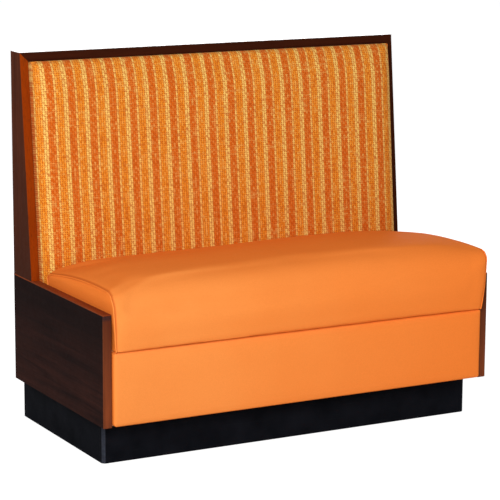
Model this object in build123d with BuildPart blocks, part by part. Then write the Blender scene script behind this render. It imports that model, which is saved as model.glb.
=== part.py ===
from build123d import *
import os
from math import atan2, cos, pi, sin, tan

# A one-sided upholstered booth bench, in millimetres, Z up, seen from the front along +Y.
# The origin is on the floor, under the middle of the bench's outer box.

# Overall size
overall_width = 1220.0
overall_height = 1067.0
panel_depth = 610.0
seat_overhang = 36.0

# Plinth
plinth_height = 118.0
plinth_board = 18.0
plinth_side_inset = 26.0
plinth_setback = 65.0
plinth_round = 12.0
cross_member_count = 3
corner_block = 38.0
corner_block_drop = 12.0

# Box floor on the plinth
floor_thickness = 18.0
floor_screw_rows = 3

# End panels, with edging on the front and the top
panel_height = 309.0
panel_thickness = 25.0
edging_thickness = 3.0
arris_round = 1.0

# Uprights and cap
upright_foot_depth = 128.0
upright_head_depth = 65.0
cap_thickness = 25.0
dowel_radius = 5.0
dowel_length = 60.0
dowel_fit = 0.1
dowel_end_room = 2.0
dowel_place_shares = (0.28, 0.76)

# Wood screws
screw_radius = 2.0
screw_head_radius = 4.0
screw_fit = 0.1
screw_end_room = 1.0
floor_screw_length = 45.0
ledger_screw_length = 40.0
back_screw_length = 32.0
apron_screw_length = 45.0
cleat_screw_length = 45.0

# Carcass that carries the seat
seat_base = 326.0
rail_height = 70.0
rail_thickness = 38.0
ledger_height = 40.0
ledger_thickness = 25.0
ledger_screw_shares = (0.12, 0.5, 0.88)
partition_thickness = 18.0

# Upholstery skins
cover_thickness = 1.6
welt_radius = 2.2

# Apron under the seat
apron_proud = 12.0
apron_side_gap = 1.5
apron_foot_gap = 3.0
apron_top_gap = 2.0
apron_foam_thickness = 14.0
apron_board_thickness = 12.0
apron_corner_round = 9.0
apron_edge_round = 8.0
apron_screw_shares = (-0.85, -0.3, 0.3, 0.85)

# Back frame
outer_back_thickness = 6.0
outer_back_set_in = 3.0
stud_thickness = 25.0
stud_place_shares = (-1.0, -0.34, 0.34, 1.0)
stud_names = ("left", "mid_left", "mid_right", "right")
top_rail_height = 25.0

# Back pad, laid on the raked frame
pad_recess = 10.0
pad_gap = 1.0
pad_drop = 25.0
pad_board_thickness = 12.0
pad_proud = 46.0
pad_corner_round = 20.0
pad_side_proud = 16.0
pad_inset = 170.0
pad_station_count = 8
pad_crown_power = 4
pad_screw_shares = (0.08, 0.5, 0.92)

# Seat unit: its outline from the side, at the middle and at the ends
seat_side_gap = 2.5
seat_lip = 24.0
seat_end_lip = 18.0
seat_end_bulge = 23.0
seat_bulge_height = 72.0
seat_end_height = 160.0
seat_shoulder_rise = 18.0
seat_crown_rise = 17.0
seat_front_fall = 5.0
seat_rear_fall = 29.0
seat_apex_depth = 150.0
seat_end_rear_draw = 24.0
brow_radius = 62.0
end_brow_radius = 34.0
bulge_radius = 240.0
apex_radius = 420.0
rear_radius = 14.0
stations_each_side = 10
shoulder_power = 16
crown_power = 3

# Seat frame, inside the seat unit
seat_frame_lead = 8.0
seat_frame_rear_lead = 18.0
seat_wrap = 6.0
seat_rail_height = 62.0
seat_rail_thickness = 38.0
inner_rail_thickness = 22.0
inner_rail_share = 0.34
brace_leg = 70.0
brace_height = 40.0
webbing_thickness = 1.8
webbing_width = 50.0
webbing_edge = 8.0
webbing_count = 7
cross_webbing_count = 3
deck_cloth_thickness = 1.5
dust_cloth_thickness = 0.8
dust_cloth_edge = 10.0
cloth_gap = 2.0
cleat_section = 20.0
cleat_gap = 2.0
cleat_end = 30.0

# Places worked out from the sizes above
half_width = overall_width / 2
inner_half = half_width - panel_thickness
back_y = (panel_depth + seat_overhang) / 2
panel_front_y = back_y - panel_depth
panel_top = plinth_height + panel_height
floor_top = plinth_height + floor_thickness
cap_bottom = overall_height - cap_thickness

plinth_half = half_width - plinth_side_inset
plinth_front_y = panel_front_y + plinth_setback
plinth_inner_half = plinth_half - plinth_board
plinth_inner_front_y = plinth_front_y + plinth_board
plinth_inner_back_y = back_y - plinth_board
plinth_mid_y = (plinth_inner_front_y + plinth_inner_back_y) / 2
plinth_inner_depth = plinth_inner_back_y - plinth_inner_front_y

foot_front_y = back_y - upright_foot_depth
head_front_y = back_y - upright_head_depth
rake = atan2(head_front_y - foot_front_y, overall_height - panel_top)

outer_back_face_y = back_y - outer_back_set_in
outer_back_front_y = outer_back_face_y - outer_back_thickness

apron_front_y = panel_front_y - apron_proud
apron_foam_front_y = apron_front_y + cover_thickness
apron_board_front_y = apron_foam_front_y + apron_foam_thickness
apron_back_y = apron_board_front_y + apron_board_thickness
apron_half = inner_half - apron_side_gap
apron_foot = plinth_height + apron_foot_gap
apron_top = seat_base - apron_top_gap

front_rail_back_y = apron_back_y + rail_thickness
rail_foot = seat_base - rail_height

seat_frame_front_y = panel_front_y - seat_frame_lead
seat_rear_y = foot_front_y - pad_proud
seat_frame_rear_y = seat_rear_y - seat_frame_rear_lead
boxing_half = inner_half - seat_side_gap - welt_radius
cover_half = boxing_half - cover_thickness
seat_frame_half = cover_half - seat_wrap
seat_rail_top = seat_base + seat_rail_height
deck_cloth_foot = seat_rail_top + webbing_thickness * 2
seat_deck_top = deck_cloth_foot + deck_cloth_thickness
rear_rail_mid_y = seat_frame_rear_y - seat_rail_thickness / 2
rear_rail_front_y = rear_rail_mid_y - rail_thickness / 2
rear_rail_back_y = rear_rail_mid_y + rail_thickness / 2

pad_back = pad_recess + pad_board_thickness
stud_foot_y = foot_front_y + pad_back / cos(rake)
pad_half = inner_half - pad_gap
pad_top_reach = (cap_bottom - panel_top) / cos(rake) - pad_gap
pad_length = pad_top_reach + pad_drop
pad_mid_reach = (pad_top_reach - pad_drop) / 2

# The raked face of the back frame: X across, Y up along the rake, Z out towards the sitter
back_plane = Plane(
    origin=(0, foot_front_y, panel_top),
    x_dir=(1, 0, 0),
    z_dir=(0, -cos(rake), sin(rake)),
)
BOTH_SIDES = (("left", -1), ("right", 1))

os.makedirs("parts", exist_ok=True)


def save(piece, name):
    """Label a finished piece and write it under its name."""
    piece.part.label = name
    export_step(piece.part, f"parts/{name}.step")


def middle(span):
    """Half way between two coordinates."""
    return (span[0] + span[1]) / 2


def board(x_span, y_span, z_span):
    """A plain rectangular board between three pairs of coordinates."""
    with BuildPart() as made:
        with BuildSketch(Plane.XY.offset(z_span[0])):
            with Locations((middle(x_span), middle(y_span))):
                Rectangle(x_span[1] - x_span[0], y_span[1] - y_span[0])
        extrude(amount=z_span[1] - z_span[0])
    return made


def side_span(side, low, high):
    """The X pair of a piece on one side, from its distances to the middle."""
    return tuple(sorted((side * low, side * high)))


def on_plane(plane, places):
    """Locations that stand on a plane, from places drawn on it."""
    return [plane.location * Location((across, along, 0)) for across, along in places]


def screws(plane, places, length):
    """Countersunk screws with heads flush in a plane and shanks running in behind it."""
    with BuildPart() as made:
        with Locations(*on_plane(plane, places)):
            Cylinder(screw_radius, length, align=(Align.CENTER, Align.CENTER, Align.MAX))
            Cone(
                screw_radius,
                screw_head_radius,
                screw_head_radius - screw_radius,
                align=(Align.CENTER, Align.CENTER, Align.MAX),
            )
    return made


def pierce(piece, plane, places, depth, countersunk=False):
    """Cut the holes for screws into a board, from a plane of their heads."""
    with BuildPart() as made:
        add(piece.part)
        with Locations(*on_plane(plane, places)):
            if countersunk:
                CounterSinkHole(
                    screw_radius + screw_fit,
                    screw_head_radius + screw_fit,
                    depth=depth + screw_end_room,
                    counter_sink_angle=90,
                )
            else:
                Hole(screw_radius + screw_fit, depth=depth + screw_end_room)
    return made


def rake_y(z):
    """How far back the raked face of the back frame lies at a height."""
    return foot_front_y + (z - panel_top) * tan(rake)


# Plinth boards
with BuildPart() as plinth_front_board:
    with BuildSketch():
        with Locations((0, plinth_front_y + plinth_board / 2)):
            Rectangle(plinth_half * 2, plinth_board)
    extrude(amount=plinth_height)
    fillet(
        plinth_front_board.edges().filter_by(Axis.Z).group_by(Axis.Y)[0],
        radius=plinth_round,
    )

plinth_rear_board = board(
    (-plinth_half, plinth_half),
    (plinth_inner_back_y, back_y),
    (0, plinth_height),
)
save(plinth_rear_board, "plinth_rear_board")
save(plinth_front_board, "plinth_front_board")

with BuildPart() as plinth_cross_members:
    with BuildSketch():
        with Locations((0, plinth_mid_y)):
            with GridLocations(plinth_inner_half / 2, 0, cross_member_count, 1):
                Rectangle(plinth_board, plinth_inner_depth)
    extrude(amount=plinth_height)
save(plinth_cross_members, "plinth_cross_members")

with BuildPart() as plinth_corner_blocks:
    with BuildSketch():
        with Locations((0, plinth_mid_y)):
            with GridLocations(
                plinth_inner_half * 2 - corner_block,
                plinth_inner_depth - corner_block,
                2,
                2,
            ):
                Rectangle(corner_block, corner_block)
    extrude(amount=plinth_height - corner_block_drop)
save(plinth_corner_blocks, "plinth_corner_blocks")

# Box floor, screwed down into the plinth's side boards
floor_plane = Plane.XY.offset(floor_top)
floor_screw_x = plinth_half - plinth_board / 2
floor_screw_y_step = plinth_inner_depth / floor_screw_rows
floor_screw_places = [
    (side * floor_screw_x, plinth_mid_y + row * floor_screw_y_step)
    for side in (-1, 1)
    for row in (-1, 0, 1)
]
box_floor = pierce(
    board(
        (-inner_half, inner_half),
        (apron_back_y, outer_back_face_y),
        (plinth_height, floor_top),
    ),
    floor_plane,
    floor_screw_places,
    floor_screw_length,
    countersunk=True,
)
save(box_floor, "box_floor")
save(screws(floor_plane, floor_screw_places, floor_screw_length), "floor_screws")

for side_name, side in BOTH_SIDES:
    plinth_side_board = pierce(
        board(
            side_span(side, plinth_inner_half, plinth_half),
            (plinth_inner_front_y, plinth_inner_back_y),
            (0, plinth_height),
        ),
        floor_plane,
        floor_screw_places,
        floor_screw_length,
    )
    save(plinth_side_board, f"plinth_{side_name}_board")

# End panels, their edging, the ledgers inside them and the uprights on them
ledger_top = rail_foot
ledger_foot = ledger_top - ledger_height
ledger_length = stud_foot_y - apron_back_y
ledger_screw_places = [
    (apron_back_y + share * ledger_length, 0) for share in ledger_screw_shares
]
dowel_hole_radius = dowel_radius + dowel_fit
dowel_hole_reach = dowel_length / 2 + dowel_end_room

for side_name, side in BOTH_SIDES:
    panel_span = side_span(side, inner_half, half_width)
    ledger_plane = Plane(
        origin=(side * (inner_half - ledger_thickness), 0, ledger_top - ledger_height / 2),
        x_dir=(0, 1, 0),
        z_dir=(-side, 0, 0),
    )
    dowel_places = [
        (middle(panel_span), foot_front_y + share * upright_foot_depth, panel_top)
        for share in dowel_place_shares
    ]
    mitre = Plane(
        origin=(side * half_width, 0, overall_height),
        x_dir=(0, 1, 0),
        z_dir=(-side * cap_thickness, 0, panel_thickness),
    )

    end_core = pierce(
        board(
            panel_span,
            (panel_front_y + edging_thickness, back_y),
            (plinth_height, panel_top - edging_thickness),
        ),
        ledger_plane,
        ledger_screw_places,
        ledger_screw_length,
    )
    with BuildPart() as end_panel:
        add(end_core.part)
        with Locations(*dowel_places):
            Cylinder(dowel_hole_radius, dowel_hole_reach * 2, mode=Mode.SUBTRACT)
    save(end_panel, f"{side_name}_end_panel")

    front_strip = board(
        panel_span,
        (panel_front_y, panel_front_y + edging_thickness),
        (plinth_height, panel_top - edging_thickness),
    )
    with BuildPart() as front_edging:
        add(front_strip.part)
        fillet(front_edging.edges().filter_by(Axis.Z).group_by(Axis.Y)[0], radius=arris_round)
    save(front_edging, f"{side_name}_front_edging")

    top_strip = board(
        panel_span,
        (panel_front_y, back_y),
        (panel_top - edging_thickness, panel_top),
    )
    with BuildPart() as top_edging:
        add(top_strip.part)
        fillet(top_edging.edges().group_by(Axis.Z)[-1].filter_by(Axis.Y), radius=arris_round)
        fillet(top_edging.edges().filter_by(Axis.X).group_by(Axis.Y)[0], radius=arris_round)
        with Locations(*dowel_places):
            Cylinder(dowel_hole_radius, dowel_hole_reach * 2, mode=Mode.SUBTRACT)
    save(top_edging, f"{side_name}_top_edging")

    with BuildPart() as upright:
        with BuildSketch(Plane.YZ.offset(panel_span[0])):
            Polygon(
                (foot_front_y, panel_top),
                (head_front_y, overall_height),
                (back_y, overall_height),
                (back_y, panel_top),
                align=None,
            )
        extrude(amount=panel_thickness)
        long_edges = upright.edges().filter_by(lambda edge: edge.length > cap_bottom - panel_top)
        fillet(long_edges, radius=arris_round)
        split(bisect_by=mitre, keep=Keep.BOTTOM)
        with Locations(*dowel_places):
            Cylinder(dowel_hole_radius, dowel_hole_reach * 2, mode=Mode.SUBTRACT)
    save(upright, f"{side_name}_upright")

    with BuildPart() as upright_dowels:
        with Locations(*dowel_places):
            Cylinder(dowel_radius, dowel_length)
    save(upright_dowels, f"{side_name}_upright_dowels")

    ledger = pierce(
        board(
            side_span(side, inner_half - ledger_thickness, inner_half),
            (apron_back_y, stud_foot_y),
            (ledger_foot, ledger_top),
        ),
        ledger_plane,
        ledger_screw_places,
        ledger_screw_length,
        countersunk=True,
    )
    save(ledger, f"{side_name}_ledger")
    save(
        screws(ledger_plane, ledger_screw_places, ledger_screw_length),
        f"{side_name}_ledger_screws",
    )

# Cap across the top, cut to the same mitres
with BuildPart() as top_cap:
    with BuildSketch(Plane.YZ.offset(-half_width)):
        Polygon(
            (rake_y(cap_bottom), cap_bottom),
            (head_front_y, overall_height),
            (back_y, overall_height),
            (back_y, cap_bottom),
            align=None,
        )
    extrude(amount=overall_width)
    fillet(top_cap.edges().filter_by(Axis.X), radius=arris_round)
    for side_name, side in BOTH_SIDES:
        split(
            bisect_by=Plane(
                origin=(side * half_width, 0, overall_height),
                x_dir=(0, 1, 0),
                z_dir=(-side * cap_thickness, 0, panel_thickness),
            ),
            keep=Keep.TOP,
        )
save(top_cap, "top_cap")

# Apron: a board, a foam sheet and a cover that wraps both
apron_screw_plane = Plane(
    origin=(0, front_rail_back_y, seat_base - rail_height / 2),
    x_dir=(-1, 0, 0),
    z_dir=(0, 1, 0),
)
apron_screw_places = [(share * apron_half, 0) for share in apron_screw_shares]


def apron_block(inset, front_y, back_face_y, corner, edge):
    """A pad with rounded corners and a rounded front, inset from the cover's outside."""
    with BuildPart() as made:
        with BuildSketch(Plane.XZ.offset(-back_face_y)):
            with Locations((0, (apron_foot + apron_top) / 2)):
                RectangleRounded((apron_half - inset) * 2, apron_top - apron_foot - inset * 2, corner)
        extrude(amount=back_face_y - front_y)
        fillet(made.faces().sort_by(Axis.Y)[0].edges(), radius=edge)
    return made


apron_outside = apron_block(0, apron_front_y, apron_back_y, apron_corner_round, apron_edge_round)
apron_inside = apron_block(
    cover_thickness,
    apron_foam_front_y,
    apron_back_y,
    apron_corner_round - cover_thickness,
    apron_edge_round - cover_thickness,
)
with BuildPart() as apron_cover:
    add(apron_outside.part)
    add(apron_inside.part, mode=Mode.SUBTRACT)
save(apron_cover, "apron_cover")

with BuildPart() as apron_foam:
    add(apron_inside.part)
    split(bisect_by=Plane.XZ.offset(-apron_board_front_y), keep=Keep.TOP)
save(apron_foam, "apron_foam")

with BuildPart() as apron_board_blank:
    add(apron_inside.part)
    split(bisect_by=Plane.XZ.offset(-apron_board_front_y), keep=Keep.BOTTOM)
apron_board = pierce(
    apron_board_blank,
    apron_screw_plane,
    apron_screw_places,
    apron_screw_length,
)
save(apron_board, "apron_board")
save(screws(apron_screw_plane, apron_screw_places, apron_screw_length), "apron_screws")

# Rails that carry the seat, propped at the middle
front_support_rail = pierce(
    board((-inner_half, inner_half), (apron_back_y, front_rail_back_y), (rail_foot, seat_base)),
    apron_screw_plane,
    apron_screw_places,
    apron_screw_length,
    countersunk=True,
)
save(front_support_rail, "front_support_rail")

rear_support_rail = board(
    (-inner_half, inner_half),
    (rear_rail_front_y, rear_rail_back_y),
    (rail_foot, seat_base),
)
save(rear_support_rail, "rear_support_rail")

centre_partition = board(
    (-partition_thickness / 2, partition_thickness / 2),
    (apron_back_y, rear_rail_back_y),
    (floor_top, rail_foot),
)
save(centre_partition, "centre_partition")

# Back frame: studs, a rail under the cap and the panel that closes the rear
top_rail_foot = cap_bottom - top_rail_height
stud_reach = inner_half - stud_thickness / 2
pad_board_plane = back_plane.offset(-pad_recess)
pad_screw_places = [
    (stud_share * stud_reach, share * pad_length - pad_drop)
    for stud_share in stud_place_shares
    for share in pad_screw_shares
]

for stud_name, stud_share in zip(stud_names, stud_place_shares):
    with BuildPart() as stud_blank:
        with BuildSketch(Plane.YZ.offset(stud_share * stud_reach)):
            Polygon(
                (stud_foot_y, floor_top),
                (stud_foot_y, panel_top),
                (rake_y(top_rail_foot) + pad_back / cos(rake), top_rail_foot),
                (outer_back_front_y, top_rail_foot),
                (outer_back_front_y, floor_top),
                align=None,
            )
        extrude(amount=stud_thickness / 2, both=True)
    stud = pierce(stud_blank, pad_board_plane, pad_screw_places, back_screw_length)
    save(stud, f"back_stud_{stud_name}")

with BuildPart() as back_top_rail:
    with BuildSketch(Plane.YZ):
        Polygon(
            (rake_y(top_rail_foot) + pad_back / cos(rake), top_rail_foot),
            (rake_y(cap_bottom) + pad_back / cos(rake), cap_bottom),
            (outer_back_front_y, cap_bottom),
            (outer_back_front_y, top_rail_foot),
            align=None,
        )
    extrude(amount=inner_half, both=True)
save(back_top_rail, "back_top_rail")

outer_back_panel = board(
    (-inner_half, inner_half),
    (outer_back_front_y, outer_back_face_y),
    (floor_top, cap_bottom),
)
save(outer_back_panel, "outer_back_panel")

# Back pad: a board on the studs, then foam in a crowned cover
with BuildPart() as pad_board_blank:
    with BuildSketch(back_plane.offset(-pad_back)):
        with Locations((0, pad_mid_reach)):
            Rectangle(pad_half * 2, pad_length)
    extrude(amount=pad_board_thickness)
back_board = pierce(
    pad_board_blank,
    pad_board_plane,
    pad_screw_places,
    back_screw_length,
    countersunk=True,
)
save(back_board, "back_board")
save(screws(pad_board_plane, pad_screw_places, back_screw_length), "back_board_screws")


def pad_shape(inset):
    """The pad's straight sides and crown, or the same shape a cover's thickness inside it."""
    with BuildPart() as made:
        with BuildSketch(pad_board_plane):
            with Locations((0, pad_mid_reach)):
                RectangleRounded((pad_half - inset) * 2, pad_length - inset * 2, pad_corner_round - inset)
        extrude(amount=pad_recess + pad_side_proud)
        for station in range(pad_station_count + 1):
            turn = station / pad_station_count * pi / 2
            proud_share = sin(turn) ** (2 / pad_crown_power)
            inset_share = 1 - abs(cos(turn)) ** (2 / pad_crown_power)
            draw_in = inset + inset_share * pad_inset
            proud = pad_side_proud + (pad_proud - inset - pad_side_proud) * proud_share
            with BuildSketch(back_plane.offset(proud)):
                with Locations((0, pad_mid_reach)):
                    RectangleRounded(
                        (pad_half - draw_in) * 2,
                        pad_length - draw_in * 2,
                        pad_corner_round - inset,
                    )
        loft(ruled=True)
    return made


pad_inside = pad_shape(cover_thickness)
save(pad_inside, "back_foam")

with BuildPart() as back_cover:
    add(pad_shape(0).part)
    add(pad_inside.part, mode=Mode.SUBTRACT)
save(back_cover, "back_cover")


def seat_outline(share, inset):
    """Corners and corner radii of the seat from the side, at a share of its half width."""
    shoulder_share = (1 - abs(share) ** shoulder_power) ** (1 / 3)
    crown_share = 1 - abs(share) ** crown_power
    rise = seat_shoulder_rise * shoulder_share + seat_crown_rise * crown_share
    lip = seat_end_lip + (seat_lip - seat_end_lip) * shoulder_share
    bulge = seat_end_bulge + (seat_overhang - seat_end_bulge) * shoulder_share
    brow = end_brow_radius + (brow_radius - end_brow_radius) * shoulder_share
    rear_y = seat_rear_y - seat_end_rear_draw * (1 - shoulder_share) - inset
    top = seat_base + seat_end_height + rise - inset
    front_y = panel_front_y - bulge + inset
    corners = [
        (panel_front_y - lip + inset, seat_base),
        (front_y, seat_base + seat_bulge_height),
        (front_y, top - seat_front_fall * crown_share),
        (panel_front_y + seat_apex_depth, top),
        (rear_y, top - seat_rear_fall),
        (rear_y, seat_base),
    ]
    return corners, [bulge_radius, brow - inset, apex_radius, rear_radius - inset]


def seat_shape(inset):
    """The crowned seat between its two end seams, or the same shape inside its cover."""
    with BuildPart() as made:
        for station in range(-stations_each_side, stations_each_side + 1):
            share = sin(station / stations_each_side * pi / 2)
            corners, radii = seat_outline(share, inset)
            with BuildSketch(Plane.YZ.offset(share * cover_half)):
                with BuildLine():
                    FilletPolyline(*corners, radius=radii)
                    Line(corners[-1], corners[0])
                make_face()
        loft(ruled=True)
    return made


# Seat unit: foam over a sprung frame, a cover over the foam, and a boxing and welt at each end
seat_inside = seat_shape(cover_thickness)
seat_frame_mid_y = (seat_frame_front_y + seat_frame_rear_y) / 2
seat_frame_depth = seat_frame_rear_y - seat_frame_front_y
seat_inner_depth = seat_frame_depth - seat_rail_thickness * 2
seat_inner_half = seat_frame_half - seat_rail_thickness

with BuildPart() as seat_foam:
    add(seat_inside.part)
    with BuildSketch(Plane.XY.offset(seat_base)):
        with Locations((0, seat_frame_mid_y)):
            Rectangle(seat_frame_half * 2, seat_frame_depth)
    extrude(amount=seat_deck_top - seat_base, mode=Mode.SUBTRACT)
save(seat_foam, "seat_foam")

end_corners, end_radii = seat_outline(1, 0)
welts = {}
for side_name, side in BOTH_SIDES:
    with BuildPart() as seat_welt:
        with BuildLine(Plane.YZ.offset(side * boxing_half)) as welt_path:
            FilletPolyline(*end_corners, radius=end_radii)
        with BuildSketch(welt_path.wire() ^ 0):
            Circle(welt_radius)
        sweep()
    welts[side_name] = seat_welt
    save(seat_welt, f"seat_{side_name}_welt")

    with BuildPart() as seat_boxing:
        with BuildSketch(Plane.YZ.offset(side * cover_half)):
            with BuildLine():
                FilletPolyline(*end_corners, radius=end_radii)
                Line(end_corners[-1], end_corners[0])
            make_face()
        extrude(amount=side * cover_thickness)
        add(seat_welt.part, mode=Mode.SUBTRACT)
    save(seat_boxing, f"seat_{side_name}_boxing")

with BuildPart() as seat_cover:
    add(seat_shape(0).part)
    add(seat_inside.part, mode=Mode.SUBTRACT)
    for side_name, side in BOTH_SIDES:
        add(welts[side_name].part, mode=Mode.SUBTRACT)
save(seat_cover, "seat_cover")

# Seat frame rails
seat_rail_span = (seat_base, seat_rail_top)
seat_frame_span = (-seat_frame_half, seat_frame_half)
front_inner_y = seat_frame_front_y + seat_rail_thickness
rear_inner_y = seat_frame_rear_y - seat_rail_thickness
seat_front_rail = board(seat_frame_span, (seat_frame_front_y, front_inner_y), seat_rail_span)
save(seat_front_rail, "seat_front_rail")
seat_rear_rail = board(seat_frame_span, (rear_inner_y, seat_frame_rear_y), seat_rail_span)
save(seat_rear_rail, "seat_rear_rail")

# The cleat that stops the seat from sliding forward, and the screws that hold it
inner_rail_x = seat_frame_half * inner_rail_share
cleat_front_y = front_rail_back_y + cleat_gap
cleat_top = seat_base - dust_cloth_thickness
cleat_foot = cleat_top - cleat_section
cleat_plane = Plane(
    origin=(0, cleat_front_y + cleat_section / 2, cleat_foot),
    x_dir=(1, 0, 0),
    z_dir=(0, 0, -1),
)
cleat_screw_places = [(-inner_rail_x, 0), (inner_rail_x, 0)]
seat_stop_cleat = pierce(
    board(
        (-inner_rail_x - cleat_end, inner_rail_x + cleat_end),
        (cleat_front_y, cleat_front_y + cleat_section),
        (cleat_foot, cleat_top),
    ),
    cleat_plane,
    cleat_screw_places,
    cleat_screw_length,
    countersunk=True,
)
save(seat_stop_cleat, "seat_stop_cleat")
save(screws(cleat_plane, cleat_screw_places, cleat_screw_length), "seat_cleat_screws")

for side_name, side in BOTH_SIDES:
    seat_side_rail = board(
        side_span(side, seat_inner_half, seat_frame_half),
        (front_inner_y, rear_inner_y),
        seat_rail_span,
    )
    save(seat_side_rail, f"seat_{side_name}_rail")
    seat_inner_rail = pierce(
        board(
            side_span(
                side,
                inner_rail_x - inner_rail_thickness / 2,
                inner_rail_x + inner_rail_thickness / 2,
            ),
            (front_inner_y, rear_inner_y),
            seat_rail_span,
        ),
        cleat_plane,
        cleat_screw_places,
        cleat_screw_length,
    )
    save(seat_inner_rail, f"seat_inner_rail_{side_name}")

# Triangular braces glued into the four inner corners of the seat frame
with BuildPart() as seat_corner_braces:
    with BuildSketch(Plane.XY.offset(seat_rail_top - brace_height)):
        for side_name, side in BOTH_SIDES:
            for corner_y, inward in ((front_inner_y, 1), (rear_inner_y, -1)):
                corner_x = side * seat_inner_half
                Polygon(
                    (corner_x, corner_y),
                    (corner_x - side * brace_leg, corner_y),
                    (corner_x, corner_y + inward * brace_leg),
                    align=None,
                )
    extrude(amount=brace_height)
save(seat_corner_braces, "seat_corner_braces")

# Elastic webbing on the frame, cross webbing on that, and the cloth that keeps the foam out of it
strap_length = seat_frame_depth - webbing_edge * 2
strap_step = (seat_inner_half * 2 - webbing_width) / webbing_count
with BuildPart() as seat_webbing:
    with BuildSketch(Plane.XY.offset(seat_rail_top)):
        with Locations((0, seat_frame_mid_y)):
            with GridLocations(strap_step, 0, webbing_count, 1):
                Rectangle(webbing_width, strap_length)
    extrude(amount=webbing_thickness)
save(seat_webbing, "seat_webbing")

cross_strap_step = seat_inner_depth / cross_webbing_count
with BuildPart() as seat_cross_webbing:
    with BuildSketch(Plane.XY.offset(seat_rail_top + webbing_thickness)):
        with Locations((0, seat_frame_mid_y)):
            with GridLocations(0, cross_strap_step, 1, cross_webbing_count):
                Rectangle((seat_frame_half - webbing_edge) * 2, webbing_width)
    extrude(amount=webbing_thickness)
save(seat_cross_webbing, "seat_cross_webbing")

seat_deck_cloth = board(
    seat_frame_span,
    (seat_frame_front_y, seat_frame_rear_y),
    (deck_cloth_foot, seat_deck_top),
)
save(seat_deck_cloth, "seat_deck_cloth")

# Dust cloth under the frame, between the rails that carry it
seat_dust_cloth = pierce(
    board(
        (dust_cloth_edge - seat_frame_half, seat_frame_half - dust_cloth_edge),
        (front_rail_back_y + cloth_gap, rear_rail_front_y - cloth_gap),
        (cleat_top, seat_base),
    ),
    cleat_plane,
    cleat_screw_places,
    cleat_screw_length,
)
save(seat_dust_cloth, "seat_dust_cloth")
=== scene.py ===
from math import atan2, cos, pi, radians, sin, tan

import bmesh
import bpy
import numpy as np
from mathutils import Euler, Matrix, Vector, noise


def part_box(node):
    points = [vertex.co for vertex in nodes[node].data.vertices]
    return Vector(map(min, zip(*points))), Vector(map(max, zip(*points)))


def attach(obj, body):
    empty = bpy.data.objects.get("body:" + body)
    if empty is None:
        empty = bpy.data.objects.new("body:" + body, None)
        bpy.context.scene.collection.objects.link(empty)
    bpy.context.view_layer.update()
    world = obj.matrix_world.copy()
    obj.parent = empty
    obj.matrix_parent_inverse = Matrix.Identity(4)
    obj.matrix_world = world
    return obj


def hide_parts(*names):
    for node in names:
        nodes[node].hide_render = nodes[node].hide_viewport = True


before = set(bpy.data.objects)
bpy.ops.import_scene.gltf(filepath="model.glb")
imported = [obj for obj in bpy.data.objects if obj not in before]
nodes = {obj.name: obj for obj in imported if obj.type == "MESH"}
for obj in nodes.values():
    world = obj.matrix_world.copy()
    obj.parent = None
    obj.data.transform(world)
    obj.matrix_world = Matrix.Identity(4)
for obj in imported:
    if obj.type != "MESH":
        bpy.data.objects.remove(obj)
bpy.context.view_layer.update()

# Camera, at the photograph's viewing angle

CAMERA_PLACE = (-2.963, -5.4429, 1.7316)
CAMERA_YAW = radians(28.440)
CAMERA_PITCH = radians(11.263)
CAMERA_ROLL = radians(0.3104)
CAMERA_LENS = 158.7

camera_data = bpy.data.cameras.new("camera")
camera_data.sensor_width = 36.0
camera_data.lens = CAMERA_LENS
camera = bpy.data.objects.new("camera", camera_data)
bpy.context.scene.collection.objects.link(camera)
turned = Euler((pi / 2 - CAMERA_PITCH, 0, -CAMERA_YAW)).to_matrix() @ Matrix.Rotation(CAMERA_ROLL, 3, "Z")
camera.matrix_world = Matrix.Translation(CAMERA_PLACE) @ turned.to_4x4()
bpy.context.scene.camera = camera

# Materials


def srgb(red, green, blue):
    """A colour given as 0 to 255 on a screen, as the shader wants it."""
    shares = [value / 255 for value in (red, green, blue)]
    linear = [s / 12.92 if s <= 0.04045 else ((s + 0.055) / 1.055) ** 2.4 for s in shares]
    return (*linear, 1.0)


ARRIS = 0.0012
ARRIS_AGREEMENT = (0.995, 0.86)


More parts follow.
